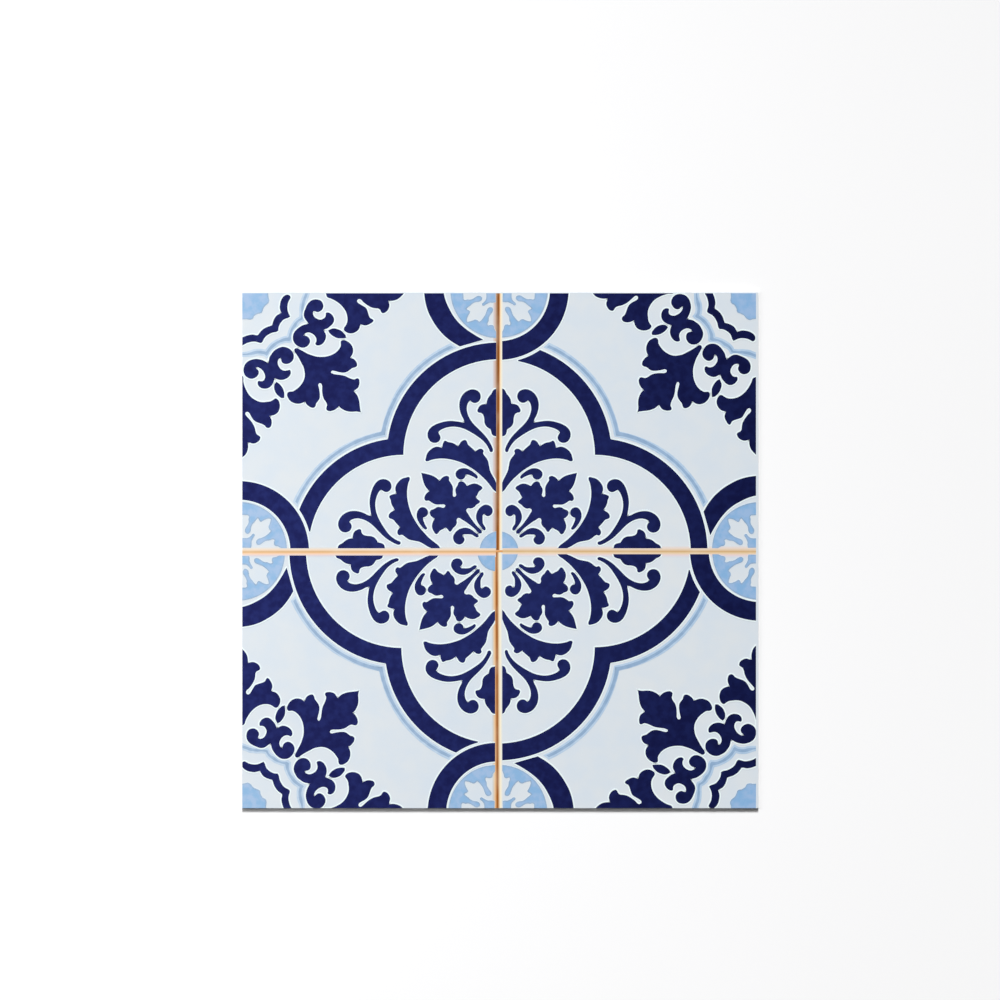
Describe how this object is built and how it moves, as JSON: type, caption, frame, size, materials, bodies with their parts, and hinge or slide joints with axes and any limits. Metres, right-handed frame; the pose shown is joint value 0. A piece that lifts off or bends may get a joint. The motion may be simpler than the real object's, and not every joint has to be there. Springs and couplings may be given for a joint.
{
  "type": "self-adhesive vinyl tile",
  "caption": "Thin square vinyl sheet with a printed blue and white quatrefoil face and a flat adhesive back that sticks onto a wall or floor.",
  "frame": {"origin": "middle of the adhesive back, on the surface that the tile lies on", "axes": "+Z out of the printed face, +Y towards the top edge of the print, +X to the right of the print"},
  "size_m": [0.2, 0.2, 0.0008],
  "materials": {
    "printed_vinyl": "satin",
    "cobalt_print": "satin",
    "pale_blue_print": "satin",
    "grout_print": "satin"
  },
  "bodies": {
    "root": {"vinyl_tile": "printed_vinyl"}
  },
  "joints": []
}
